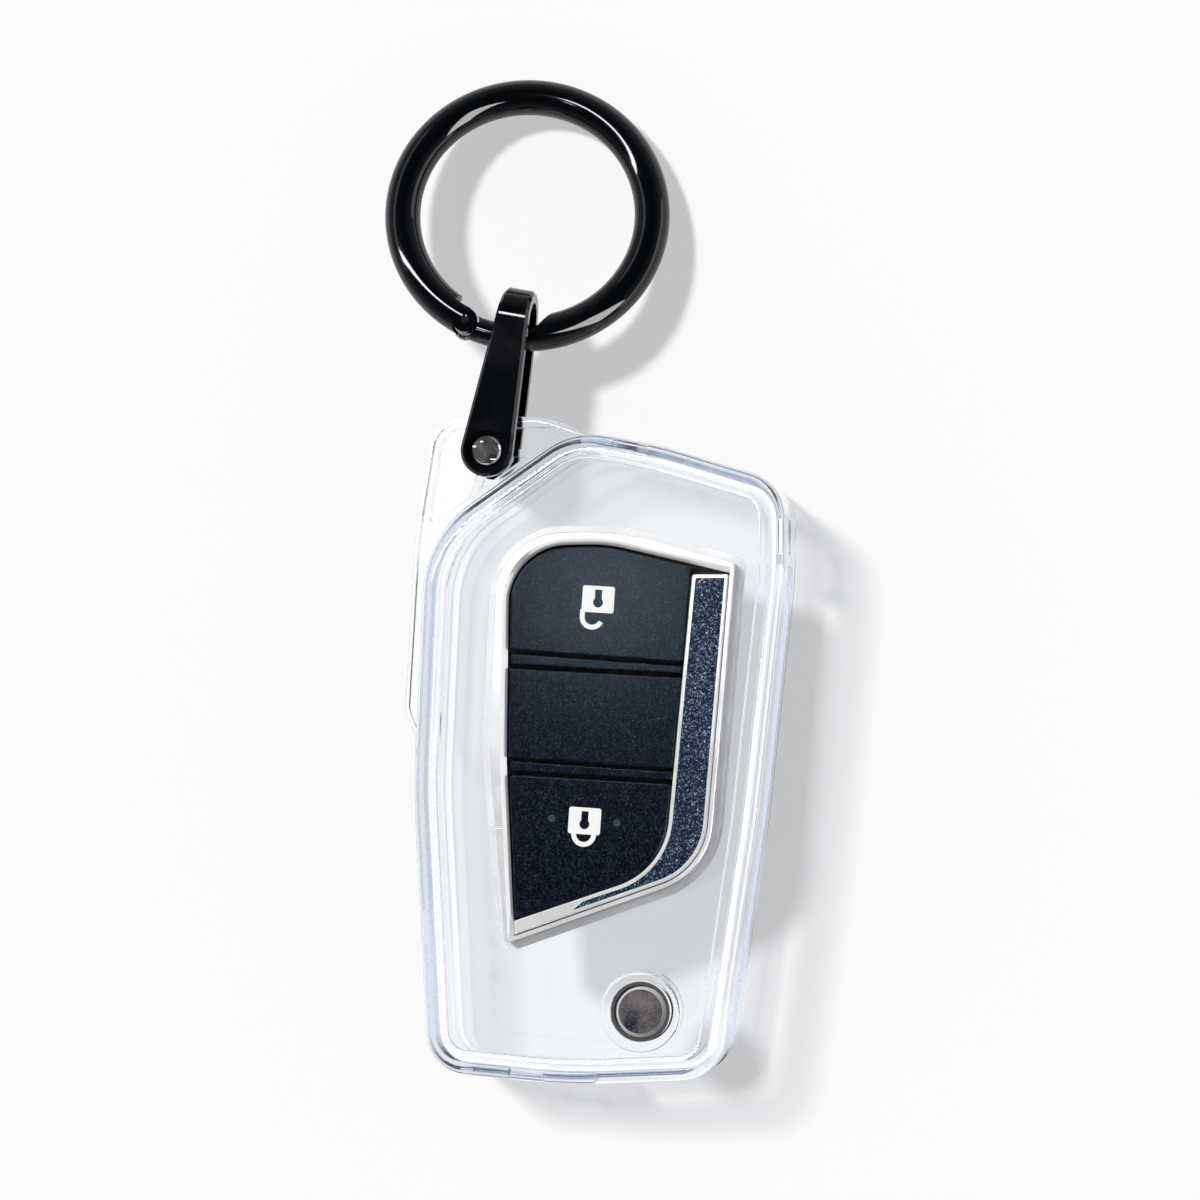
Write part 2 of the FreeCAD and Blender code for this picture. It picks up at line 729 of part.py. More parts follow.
def make_sign(name, shares, is_open):
    """Padlock sign lying on its key: a plate with a keyhole, and a shackle below it that is open or shut."""
    body = new_body(name)
    width = mm["sign_width"]
    height = mm["sign_body_height"]
    sides = box_outline(Vector(), Vector(1, 0), width, height)
    plate = [(corner, mm["sign_corner_radius"]) for corner, radius in sides]
    raise_pad(body, draw(body, "plate_outline", "", plate), "plate", "sign_thickness")
    bow = mm["shackle_radius"]
    stroke = mm["shackle_stroke"]
    inner = bow - stroke
    top = -height / 2 + stroke / 2
    bend = -height / 2 - stroke if is_open else -height / 2
    lean = -width / 2 + bow - stroke / 4 if is_open else 0.0
    end = math.radians(mm["hook_end_degrees"] if is_open else 0)
    sketch = new_sketch(body, "shackle_outline")
    centre = Vector(lean, bend)
    axis = Vector(0, 0, 1)
    left_out, left_in = centre + Vector(-bow, 0), centre + Vector(-inner, 0)
    aim = Vector(math.cos(end), math.sin(end))
    sketch.addGeometry(Part.ArcOfCircle(Part.Circle(centre, axis, bow), math.pi, 2 * math.pi + end), False)
    sketch.addGeometry(Part.ArcOfCircle(Part.Circle(centre, axis, inner), math.pi, 2 * math.pi + end), False)
    rise = Vector(0, top - bend)
    runs = [(left_out, left_out + rise), (left_out + rise, left_in + rise), (left_in + rise, left_in)]
    if is_open:
        runs.append((centre + aim * inner, centre + aim * bow))
    else:
        runs += [
            (centre + aim * bow, centre + aim * bow + rise),
            (centre + aim * bow + rise, centre + aim * inner + rise),
            (centre + aim * inner + rise, centre + aim * inner),
        ]
    for start, finish in runs:
        sketch.addGeometry(Part.LineSegment(start, finish), False)
    raise_pad(body, sketch, "shackle", "sign_thickness")
    eye = Vector(0, -mm["keyhole_length"] / 4)
    middle = eye + Vector(0, mm["keyhole_length"] / 2)
    slit = box_outline(middle, Vector(0, 1), mm["keyhole_length"], mm["keyhole_width"])
    cut_down(body, draw_circles(body, "eye", "sign_thickness", [eye], "keyhole_radius"), "keyhole_eye")
    cut_down(body, draw(body, "slit", "sign_thickness", slit), "keyhole_slit")
    turn = Rotation(Vector(0, 0, 1), mm["pad_turn_degrees"])
    body.Placement = Placement(spot(shares) + Vector(0, 0, mm["key_top"]), turn)


def bar_edges(border):
    """The trim bar's edges, moved inwards by a border: below, right, top, and back down beside the pad."""
    outer = mm["bezel_edge"] + mm["pad_gap"] + border
    inner = border
    top_right, top_left = (spot(share) for share in BAR_TOP_SHARES)
    return [
        (insert[0][0], insert[1][0], outer),
        (insert[1][0], insert[2][0], outer),
        (top_right, top_left, border),
        (pad[2][0], pad[1][0], inner),
        (pad[1][0], pad[0][0], inner),
    ]


def make_trim_bar():
    """Bright swept bar right of the pad, running to a point below it, with a sunk bed for its inlay."""
    sweep = mm["insert_sweep_radius"]
    small = mm["bar_corner_radius"]
    outer = sweep - mm["bezel_edge"] - mm["pad_gap"]
    point_edge = (pad[5][0], pad[0][0], 0.0)
    bar = field(bar_edges(0.0) + [point_edge], (0.0, outer, small, small, sweep, 0.0))
    body = new_body("trim_bar")
    block = raise_pad(body, draw(body, "outline", "flange_bottom", bar), "block", "bar_top - flange_bottom")
    ease("Chamfer", body, block, "edge", edges_on(block.Shape, bar, mm["bar_top"]), "bar_round")
    border = mm["bar_border"]
    end = tuple(spot(share) for share in INLAY_END_SHARES)
    bed = field(bar_edges(border) + [(*end, 0.0)], (0.0, outer - border, 0.0, 0.0, sweep + border, 0.0))
    cut_down(body, draw(body, "bed", "bar_top", bed), "inlay_bed", "inlay_depth")
    inlay = new_body("trim_inlay")
    raise_pad(inlay, draw(inlay, "outline", "bar_top - inlay_depth", bed), "strip", "inlay_thickness")


def make_release():
    """Round release button: a bevelled cap with a mirror set in it, in a soft ring inside the collar."""
    cap = new_body("release_cap")
    radius = mm["release_radius"]
    flange = mm["release_flange_radius"]
    bottom = -mm["release_flange_thickness"]
    height = mm["release_height"]
    bevel = mm["release_bevel"]
    mirror = mm["mirror_radius"]
    bed = height - mm["mirror_depth"]
    profile = (
        (0, bottom), (flange, bottom), (flange, 0), (radius, 0),
        (radius, height - bevel), (mirror, height), (mirror, bed), (0, bed),
    )
    spin(cap, "turned", [(Vector(x, z), 0.0) for x, z in profile])
    glass = new_body("release_mirror")
    top = height - mm["inlay_drop"]
    profile = ((0, bed), (mirror, bed), (mirror, top), (0, top))
    spin(glass, "disc", [(Vector(x, z), 0.0) for x, z in profile])
    gasket = new_body("release_gasket")
    inner = mm["gasket_inner_radius"]
    outer = mm["gasket_radius"]
    top = mm["gasket_top"] - mm["collar_bottom"]
    profile = ((inner, 0), (outer, 0), (outer, top), (inner, top))
    spin(gasket, "ring", [(Vector(x, z), 0.0) for x, z in profile])
    for body in (cap, glass, gasket):
        body.Placement = Placement(release + Vector(0, 0, mm["collar_bottom"]), Rotation())


def strap_frame():
    """Place of the strap: its screw's axis at the middle of the ear, with its length along Y."""
    turn = Rotation(Vector(0, 0, 1), mm["strap_turn_degrees"])
    return Placement(screw + Vector(0, 0, mm["parting_height"]), turn)


def make_strap():
    """Bent strap: two legs joined by a round loop, tapering from the eye, with bevelled outer edges."""
    body = new_body("clip_strap")
    outer = mm["strap_outer"]
    inner = mm["strap_half"]
    loop = mm["loop_centre"]
    eye = mm["strap_eye_radius"]
    start = -eye - overrun
    sketch = new_sketch(body, "side", "", "YZ_Plane")
    axis = Vector(0, 0, 1)
    for radius in (outer, inner):
        circle = Part.Circle(Vector(loop, 0), axis, radius)
        sketch.addGeometry(Part.ArcOfCircle(circle, -math.pi / 2, math.pi / 2), False)
        for side in (-radius, radius):
            sketch.addGeometry(Part.LineSegment(Vector(start, side), Vector(loop, side)), False)
    for side in (-1, 1):
        sketch.addGeometry(Part.LineSegment(Vector(start, side * inner), Vector(start, side * outer)), False)
    raise_pad(body, sketch, "bend", "2 * strap_eye_radius + 2 * overrun", symmetric=True)
    end = mm["strap_end_width"] / 2
    length = mm["strap_length"] + overrun
    slope = math.asin((eye - end) / mm["strap_length"])
    foot = Vector(eye * math.cos(slope), eye * math.sin(slope))
    tip = Vector(foot.x - (length - foot.y) * math.tan(slope), length)
    frame = new_sketch(body, "face")
    across, bottom = eye + 2 * overrun, start - overrun
    corners = [
        Vector(-across, bottom), Vector(across, bottom), Vector(across, length), Vector(-across, length),
    ]
    for a, b in zip(corners, corners[1:] + corners[:1]):
        if a.y == b.y == length:
            continue
        frame.addGeometry(Part.LineSegment(a, b), False)
    arc = Part.ArcOfCircle(Part.Circle(Vector(), axis, eye), math.pi - slope, 2 * math.pi + slope)
    frame.addGeometry(arc, False)
    for side in (-1, 1):
        low, high = Vector(side * foot.x, foot.y), Vector(side * tip.x, tip.y)
        frame.addGeometry(Part.LineSegment(low, high), False)
        frame.addGeometry(Part.LineSegment(high, Vector(side * across, length)), False)
    cut = cut_down(body, frame, "sides", "2 * strap_outer + 2 * overrun", symmetric=True)
    edges = []
    for number, edge in enumerate(cut.Shape.Edges, 1):
        middle = edge.valueAt((edge.FirstParameter + edge.LastParameter) / 2)
        on_leg = abs(abs(middle.z) - outer) < mm["match"] and middle.y < loop
        on_loop = abs(math.hypot(middle.y - loop, middle.z) - outer) < mm["match"] and middle.y > loop
        if (on_leg and abs(middle.y - loop) > mm["match"]) or (on_loop and abs(middle.x) > mm["match"]):
            edges.append(f"Edge{number}")
    ease("Chamfer", body, cut, "bevel", edges, "strap_bevel")
    recess = draw_circles(body, "recess", "strap_outer", [Vector()], "strap_recess_radius")
    cut_down(body, recess, "screw_recess", "strap_recess_depth")
    shank = draw_circles(body, "shank", "strap_outer", [Vector()], "screw_shank_radius")
    cut_down(body, shank, "shank_hole", "strap_thickness")
    barrel = draw_circles(body, "barrel", "-strap_half", [Vector()], "barrel_radius")
    cut_down(body, barrel, "barrel_hole", "strap_thickness")
    body.Placement = strap_frame()


def make_fasteners():
    """Cross-headed screw from the front, and the barrel nut that it threads into through the ear."""
    body = new_body("clip_screw")
    seat = mm["strap_outer"] - mm["strap_recess_depth"]
    top = seat + mm["screw_head_height"]
    head = mm["screw_head_radius"]
    shank = mm["screw_shank_radius"]
    tip = -mm["strap_half"] + mm["barrel_tip_gap"]
    bevel = mm["screw_head_bevel"]
    profile = (
        (0, tip), (shank, tip), (shank, seat), (head, seat),
        (head, top - bevel), (head - bevel, top), (0, top),
    )
    spin(body, "turned", [(Vector(x, z), 0.0) for x, z in profile])
    for number, along in enumerate((Vector(1, 0), Vector(0, 1)), 1):
        bar = box_outline(Vector(), along, mm["screw_cross_length"], mm["screw_cross_width"])
        sketch = draw(body, f"slot_{number}", "strap_outer - strap_recess_depth + screw_head_height", bar)
        cut_down(body, sketch, f"cross_slot_{number}", "screw_cross_depth")
    nut = new_body("clip_nut")
    radius = mm["barrel_radius"]
    under = -mm["strap_outer"]
    low = under - mm["barrel_head_height"]
    wide = mm["barrel_head_radius"]
    high = mm["strap_half"] - mm["barrel_tip_gap"]
    profile = (
        (0, low), (wide - bevel, low), (wide, low + bevel), (wide, under), (radius, under),
        (radius, high), (shank, high), (shank, tip), (0, tip),
    )
    spin(nut, "turned", [(Vector(x, z), 0.0) for x, z in profile])
    for piece in (body, nut):
        piece.Placement = strap_frame()


def ring_frame(degrees):
    """Place of the ring, leaning from the strap's loop down to the floor, its X at an angle from the neck."""
    aside = mm["ring_turn_degrees"] - mm["ring_lean_degrees"]
    rise = mm["parting_height"] + mm["neck_rise"] - mm["ring_tube_radius"]
    fall = rise / (mm["ring_radius"] + mm["gate_radius"] * math.cos(math.radians(aside)))
    up = Vector(0, 0, 1)
    lean = Rotation(up, mm["ring_lean_degrees"])
    lean = lean.multiply(Rotation(Vector(1, 0, 0), -math.degrees(math.asin(fall))))
    lean = lean.multiply(Rotation(up, aside))
    neck = strap_frame().multVec(Vector(0, mm["neck_reach"], mm["neck_rise"]))
    centre = neck + lean.multVec(Vector(0, mm["gate_radius"]))
    return Placement(centre, lean.multiply(Rotation(up, degrees - 90)))


def sector(inner, outer, start, end):
    """Four runs round a part of a flat ring, between two angles in degrees."""
    axis = Vector(0, 0, 1)
    first, last = math.radians(start), math.radians(end)
    runs = [
        Part.ArcOfCircle(Part.Circle(Vector(), axis, radius), first, last) for radius in (inner, outer)
    ]
    for angle in (first, last):
        aim = Vector(math.cos(angle), math.sin(angle))
        runs.append(Part.LineSegment(aim * inner, aim * outer))
    return runs


def circle_profile(body, name, radius, tube):
    """A tube's round section, in the body's own X and Z."""
    sketch = new_sketch(body, name, "", "XZ_Plane")
    sketch.addGeometry(Part.Circle(Vector(radius, 0), Vector(0, 0, 1), tube), False)
    return sketch


def turn_profile(body, name, sketch, angle, back_angle=0.0):
    """A section carried round the body's Z axis, forwards and back."""
    made = body.newObject("PartDesign::Revolution", f"{body.Name}_{name}")
    made.Profile = sketch
    made.ReferenceAxis = (sketch, ["V_Axis"])
    if back_angle:
        made.Type = "TwoAngles"
        made.Angle2 = back_angle
    made.Angle = angle
    doc.recompute()
    return made


def make_ring():
    """Open ring that the gate closes: a slanted seat at one end and a forked hinge at the other."""
    body = new_body("ring_body")
    ring = mm["ring_radius"]
    tube = mm["ring_tube_radius"]
    gate = mm["gate_radius"]
    hinge = mm["hinge_degrees"] - mm["shoulder_degrees"]
    step = mm["step_degrees"] - mm["shoulder_degrees"]
    pin = Vector(gate * math.cos(math.radians(hinge)), gate * math.sin(math.radians(hinge)))
    lap = math.degrees(tube / ring)
    turn_profile(body, "tube", circle_profile(body, "section", ring, tube), 360 + hinge, lap)
    knuckle = draw_circles(body, "knuckle", "", [pin], "hinge_radius")
    raise_pad(body, knuckle, "hinge_knuckle", "2 * cheek_reach", symmetric=True)
    relief = new_sketch(body, "relief")
    for run in sector(ring - 2 * tube, ring - tube + mm["gate_cut"], step, hinge + lap):
        relief.addGeometry(run, False)
    cut_down(body, relief, "gate_relief", "2 * overrun", symmetric=True)
    near, far = ring - 2 * tube, ring + 2 * tube
    seat = [(Vector(x, y), 0.0) for x, y in ((near, 2 * tube), (far, -2 * tube), (near, -2 * tube))]
    cut_down(body, draw(body, "seat", "", seat), "gate_seat", "2 * overrun", symmetric=True)
    fork = draw_circles(body, "fork", "", [pin], "hinge_radius", " + gate_gap")
    cut_down(body, fork, "fork_slot", "tongue_plate + 2 * tongue_side_gap", symmetric=True)
    bore = draw_circles(body, "pin_bore", "", [pin], "pin_radius")
    cut_down(body, bore, "pin_hole", "2 * overrun", symmetric=True)
    body.Placement = ring_frame(mm["shoulder_degrees"])
    return pin


def make_gate():
    """Thin gate across the ring's gap, held in the strap's loop, with an eye on the hinge pin."""
    body = new_body("ring_gate")
    ring = mm["ring_radius"]
    tube = mm["ring_tube_radius"]
    gate = mm["gate_radius"]
    span = mm["shoulder_degrees"] - mm["hinge_degrees"]
    lap = math.degrees(tube / ring)
    turn_profile(body, "tube", circle_profile(body, "section", gate, mm["gate_tube_radius"]), span + lap)
    pin = Vector(gate, 0)
    clear = draw_circles(body, "hinge_room", "", [pin], "hinge_radius", " + gate_gap")
    cut_down(body, clear, "hinge_clearance", "2 * overrun", symmetric=True)
    end = Rotation(Vector(0, 0, 1), span)
    gap = mm["gate_seam"] * math.sqrt(2)
    tip = [
        Vector(ring - 2 * tube, 2 * tube - gap), Vector(ring - 2 * tube, 2 * overrun),
        Vector(ring + 2 * tube, 2 * overrun), Vector(ring + 2 * tube, -2 * tube - gap),
    ]
    outline = [(end.multVec(corner), 0.0) for corner in reversed(tip)]
    cut_down(body, draw(body, "tip", "", outline), "slanted_tip", "2 * overrun", symmetric=True)
    eye = draw_circles(body, "eye", "", [pin], "tongue_eye_radius")
    raise_pad(body, eye, "hinge_eye", "tongue_plate", symmetric=True)
    reach = mm["hinge_radius"] + 2 * mm["gate_gap"]
    neck = box_outline(pin + Vector(0, reach / 2), Vector(0, 1), reach, mm["tongue_eye_radius"])
    raise_pad(body, draw(body, "neck", "", neck), "hinge_neck", "tongue_plate", symmetric=True)
    bore = draw_circles(body, "pin_bore", "", [pin], "pin_radius", " + pin_gap")
    cut_down(body, bore, "pin_hole", "2 * overrun", symmetric=True)
    body.Placement = ring_frame(mm["hinge_degrees"])


def make_pin(pin):
    """Hinge pin through the fork and the gate's eye."""
    body = new_body("gate_pin")
    section = draw_circles(body, "section", "", [pin], "pin_radius")
    raise_pad(body, section, "pin", "2 * cheek_reach", symmetric=True)
    body.Placement = ring_frame(mm["shoulder_degrees"])


def write_parts():
    """Checks every object and every solid, then writes one file per node."""
    doc.recompute()
    faults = [item.Name for item in doc.Objects if {"Invalid", "Error"} & set(item.State)]
    if faults:
        raise SystemExit("Faults: " + ", ".join(faults))
    for item in doc.Objects:
        if item.TypeId == "PartDesign::Pocket" and item.Shape.Volume >= item.BaseFeature.Shape.Volume:
            faults.append(f"{item.Name} cuts nothing")
    for body in parts:
        shape = body.Shape
        if shape.isNull() or not shape.isValid() or len(shape.Solids) != 1:
            faults.append(f"{body.Label} has no single valid solid")
    if faults:
        raise SystemExit("Faults: " + ", ".join(faults))
    os.makedirs("parts", exist_ok=True)
    for body in parts:
        body.Shape.exportStep(f"parts/{body.Label}.step")
        print(body.Label, round(body.Shape.Volume, 3))


make_rear_shell()
make_front_shell()
make_bezel_frame()
make_keypad_base()
make_pad()
make_dome("unlock_dome", UNLOCK_DOME_SHARES)
make_dome("lock_dome", LOCK_DOME_SHARES)
make_sign("unlock_sign", UNLOCK_SIGN_SHARES, True)
make_sign("lock_sign", LOCK_SIGN_SHARES, False)
make_trim_bar()
make_release()
make_strap()
make_fasteners()
hinge_pin = make_ring()
make_gate()
make_pin(hinge_pin)
write_parts()
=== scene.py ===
"""Looks of the key fob cover: a finish for every piece, a pale floor, studio light and the camera."""

import json
import math

import bpy
from mathutils import Matrix, Vector

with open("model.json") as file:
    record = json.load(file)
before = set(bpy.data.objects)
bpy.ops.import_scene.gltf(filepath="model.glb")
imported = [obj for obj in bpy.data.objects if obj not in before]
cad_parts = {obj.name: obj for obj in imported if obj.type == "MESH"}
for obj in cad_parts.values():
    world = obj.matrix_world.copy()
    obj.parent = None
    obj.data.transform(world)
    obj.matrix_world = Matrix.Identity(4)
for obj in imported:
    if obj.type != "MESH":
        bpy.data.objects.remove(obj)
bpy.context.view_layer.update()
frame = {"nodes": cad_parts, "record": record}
nodes = frame["nodes"]
scene = bpy.context.scene
scene.view_settings.view_transform = "Standard"
scene.cycles.max_bounces = 32  # light runs far along the clear walls before it comes out
scene.cycles.glossy_bounces = 20
scene.cycles.transmission_bounces = 24


def wire(tree, socket, value):
    """A socket gets a link from another socket, or a plain value. Colours come without alpha."""
    if isinstance(value, bpy.types.NodeSocket):
        tree.links.new(value, socket)
    elif socket.type == "RGBA":
        socket.default_value = (*value, 1.0)
    else:
        socket.default_value = value


def feed(tree, node, **inputs):
    """A node's inputs wired by name, with underscores for spaces. Returns the node."""
    for name, value in inputs.items():
        wire(tree, node.inputs[name.replace("_", " ")], value)
    return node


def add(tree, kind, **inputs):
    """One new shader node with its inputs fed."""
    return feed(tree, tree.nodes.new(kind), **inputs)


def blend_colours(tree, factor, first, second):
    """The colour between two others, by a factor. Colours have sockets 6 and 7 of the node."""
    made = tree.nodes.new("ShaderNodeMix")
    made.data_type = "RGBA"
    for index, value in ((0, factor), (6, first), (7, second)):
        wire(tree, made.inputs[index], value)
    return made.outputs[2]


def stretch(tree, value, low, high, to_low=0.0, to_high=1.0):
    """A value moved from one range to another, and kept inside it."""
    made = add(
        tree, "ShaderNodeMapRange",
        Value=value, From_Min=low, From_Max=high, To_Min=to_low, To_Max=to_high,
    )
    return made.outputs["Result"]


def reckon(tree, operation, first, second):
    """A sum, product or comparison of two values."""
    made = tree.nodes.new("ShaderNodeMath")
    made.operation = operation
    wire(tree, made.inputs[0], first)
    wire(tree, made.inputs[1], second)
    return made.outputs[0]


def object_spot(tree):
    """Where a point lies on its own piece, in metres."""
    return add(tree, "ShaderNodeTexCoord").outputs["Object"]


def light_path(tree):
    """What kind of light reaches a point, as the outputs of one node."""
    return add(tree, "ShaderNodeLightPath").outputs


def before_bounce(tree, path):
    """One for light that has not yet bounced off a matt surface, and zero after that."""
    return reckon(tree, "LESS_THAN", path["Diffuse Depth"], 0.5)


def clean_tree(owner):
    """The node tree of a material, world or lamp, emptied."""
    owner.use_nodes = True
    owner.node_tree.nodes.clear()
    return owner.node_tree


def new_group(name, inputs, outputs):
    """An empty node group with number sockets. Returns its tree and its inputs."""
    tree = bpy.data.node_groups.new(name, "ShaderNodeTree")
    for label, value in inputs:
        socket = tree.interface.new_socket(label, in_out="INPUT", socket_type="NodeSocketFloat")
        socket.default_value = value
    for label in outputs:
        tree.interface.new_socket(label, in_out="OUTPUT", socket_type="NodeSocketFloat")
    return tree, tree.nodes.new("NodeGroupInput").outputs


def place_group(tree, group, **inputs):
    """The group placed in a material with its own values. Returns its outputs."""
    made = tree.nodes.new("ShaderNodeGroup")
    made.node_tree = group
    return feed(tree, made, **inputs).outputs


def make_handling_marks():
    """Faint smudges and fine hairlines left by handling.

    Broad noise makes the smudges, and noise drawn out along one direction makes the hairlines.
    """
    tree, given = new_group(
        "handling_marks",
        (("Smooth", 0.05), ("Rough", 0.15), ("Smudge Scale", 120.0), ("Hairlines", 1.0)),
        ("Roughness", "Height", "Smear"),
    )
    spot = object_spot(tree)
    smudge = add(
        tree, "ShaderNodeTexNoise",
        Vector=spot, Scale=given["Smudge Scale"], Detail=5.0, Roughness=0.6,
    ).outputs["Fac"]
    drawn = add(
        tree, "ShaderNodeMapping",
        Vector=spot, Rotation=(0.0, 0.0, 0.6), Scale=(180.0, 5200.0, 900.0),
    ).outputs["Vector"]
    lines = add(tree, "ShaderNodeTexNoise", Vector=drawn, Scale=1.0, Detail=2.0).outputs["Fac"]
    hairline = reckon(tree, "MULTIPLY", stretch(tree, lines, 0.66, 0.74), given["Hairlines"])
    smear = stretch(tree, smudge, 0.35, 0.68)
    worn = reckon(tree, "MAXIMUM", smear, reckon(tree, "MULTIPLY", hairline, 0.7))
    roughness = stretch(tree, worn, 0.0, 1.0, given["Smooth"], given["Rough"])
    add(tree, "NodeGroupOutput", Roughness=roughness, Height=hairline, Smear=smear)
    return tree


def make_moulded_grain():
    """Fine mould grain: small noise bumps, and cells of which a few catch the light as flecks."""
    tree, given = new_group(
        "moulded_grain",
        (("Scale", 3000.0), ("Fleck Share", 0.05)),
        ("Height", "Fleck", "Tone", "Shade"),
    )
    spot = object_spot(tree)
    bumps = add(
        tree, "ShaderNodeTexNoise",
        Vector=spot, Scale=given["Scale"], Detail=3.0, Roughness=0.65,
    ).outputs["Fac"]
    cells = add(
        tree, "ShaderNodeTexVoronoi", Vector=spot, Scale=given["Scale"], Randomness=1.0
    ).outputs
    pick = add(tree, "ShaderNodeSeparateColor", Color=cells["Color"]).outputs
    chosen = reckon(tree, "LESS_THAN", pick["Red"], given["Fleck Share"])
    near = stretch(tree, cells["Distance"], 0.45, 0.15)
    fleck = reckon(tree, "MULTIPLY", chosen, near)
    tone = add(tree, "ShaderNodeTexNoise", Vector=spot, Scale=160.0, Detail=3.0).outputs["Fac"]
    add(tree, "NodeGroupOutput", Height=bumps, Fleck=fleck, Tone=tone, Shade=pick["Green"])
    return tree


handling_marks = make_handling_marks()
moulded_grain = make_moulded_grain()


def new_material(name):
    """An empty node material. Returns it, its tree, its shader and its output node."""
    made = bpy.data.materials.new(name)
    tree = clean_tree(made)
    shader = add(tree, "ShaderNodeBsdfPrincipled")
    end = add(tree, "ShaderNodeOutputMaterial", Surface=shader.outputs[0])
    return made, tree, shader, end


def bump(tree, shader, height, distance, strength=1.0):
    """Small relief on a surface, in metres."""
    relief = add(tree, "ShaderNodeBump", Height=height, Distance=distance, Strength=strength)
    feed(tree, shader, Normal=relief.outputs["Normal"])


def finish_clear():
    """Polished clear plastic, faintly blue, that lets the lamps through, less so at steep walls."""
    made, tree, shader, end = new_material("clear_plastic")
    flow = add(
        tree, "ShaderNodeTexNoise", Vector=object_spot(tree), Scale=70.0, Detail=2.0
    ).outputs["Fac"]
    tint = blend_colours(
        tree, stretch(tree, flow, 0.3, 0.7), (0.975, 0.980, 0.990), (0.990, 0.992, 0.998)
    )
    marks = place_group(
        tree, handling_marks, Smooth=0.0, Rough=0.02, Smudge_Scale=90.0, Hairlines=0.0
    )
    feed(tree, shader, Base_Color=tint, Roughness=marks["Roughness"])
    feed(tree, shader, Transmission_Weight=1.0, IOR=1.49)
    facing = add(tree, "ShaderNodeLayerWeight", Blend=0.5).outputs["Facing"]
    steep = stretch(tree, facing, 0.2, 0.8)
    let_through = blend_colours(tree, steep, (0.93, 0.935, 0.94), (0.54, 0.55, 0.57))
    clear = add(tree, "ShaderNodeBsdfTransparent", Color=let_through)
    mixed = tree.nodes.new("ShaderNodeMixShader")
    tree.links.new(light_path(tree)["Is Shadow Ray"], mixed.inputs[0])
    tree.links.new(shader.outputs[0], mixed.inputs[1])
    tree.links.new(clear.outputs[0], mixed.inputs[2])
    body = add(tree, "ShaderNodeVolumeAbsorption", Color=(0.30, 0.48, 0.86), Density=7.5)
    feed(tree, end, Surface=mixed.outputs[0], Volume=body.outputs[0])
    return made


def finish_bright():
    """Bright silvery plating with faint handling marks."""
    made, tree, shader, _ = new_material("bright_trim")
    marks = place_group(tree, handling_marks, Smooth=0.10, Rough=0.22, Smudge_Scale=260.0)
    tone = place_group(tree, moulded_grain)["Tone"]
    silver = blend_colours(tree, tone, (0.91, 0.92, 0.94), (0.96, 0.965, 0.98))
    feed(tree, shader, Base_Color=silver, Roughness=marks["Roughness"], Metallic=0.30)
    bump(tree, shader, marks["Height"], 0.000004)
    return made


def finish_pad():
    """Dark blue-black plastic with a satin grain and light flecks, and a painted highlight: the lock
    key's dots are coloured paler.
    """
    made, tree, shader, _ = new_material("black_plastic")
    grain = place_group(tree, moulded_grain, Scale=5000.0, Fleck_Share=0.10)
    shade = reckon(tree, "POWER", grain["Shade"], 2.5)
    dark = blend_colours(tree, shade, (0.0030, 0.0046, 0.0100), (0.0170, 0.0235, 0.0380))
    flecked = blend_colours(tree, grain["Fleck"], dark, (0.062, 0.074, 0.098))
    height = add(tree, "ShaderNodeSeparateXYZ", Vector=object_spot(tree)).outputs["Z"]
    dot_top = max(corner[2] for corner in nodes["lock_key"].bound_box)
    dot_foot, dot_shoulder = dot_top - 0.00020, dot_top - 0.00008
    # Painted highlight: a paler colour on the lock key's dots stands in for the sheen on their domes;
    # the same mask also makes them rougher.
    dot = stretch(tree, height, dot_foot, dot_shoulder)
    satin = stretch(tree, grain["Height"], 0.3, 0.7, 0.10, 0.16)
    feed(
        tree, shader,
        Base_Color=blend_colours(tree, dot, flecked, (0.040, 0.048, 0.062)),
        Roughness=reckon(tree, "MAXIMUM", satin, reckon(tree, "MULTIPLY", dot, 0.5)),
        Specular_IOR_Level=0.12,
        Specular_Tint=(0.70, 0.88, 1.0),
    )
    bump(tree, shader, grain["Height"], 0.000007, 0.8)
    return made


def finish_base():
    """Matt black backing."""
    made, tree, shader, _ = new_material("base_plastic")
    grain = place_group(tree, moulded_grain, Scale=2600.0)
    black = blend_colours(tree, grain["Tone"], (0.004, 0.004, 0.005), (0.009, 0.009, 0.011))
    matt = stretch(tree, grain["Height"], 0.3, 0.7, 0.5, 0.7)
    feed(tree, shader, Base_Color=black, Roughness=matt)
    bump(tree, shader, grain["Height"], 0.00003, 0.5)
    return made


def finish_print():
    """Matt white print, a little thin in places."""
    made, tree, shader, _ = new_material("white_print")
    grain = place_group(tree, moulded_grain, Scale=4200.0, Fleck_Share=0.04)
    white = blend_colours(tree, grain["Tone"], (0.92, 0.93, 0.93), (0.97, 0.97, 0.96))
    thinned = blend_colours(tree, grain["Fleck"], white, (0.84, 0.85, 0.86))
    matt = stretch(tree, grain["Height"], 0.3, 0.7, 0.45, 0.6)
    feed(tree, shader, Base_Color=thinned, Roughness=matt)
    bump(tree, shader, grain["Height"], 0.00001, 0.4)
    return made


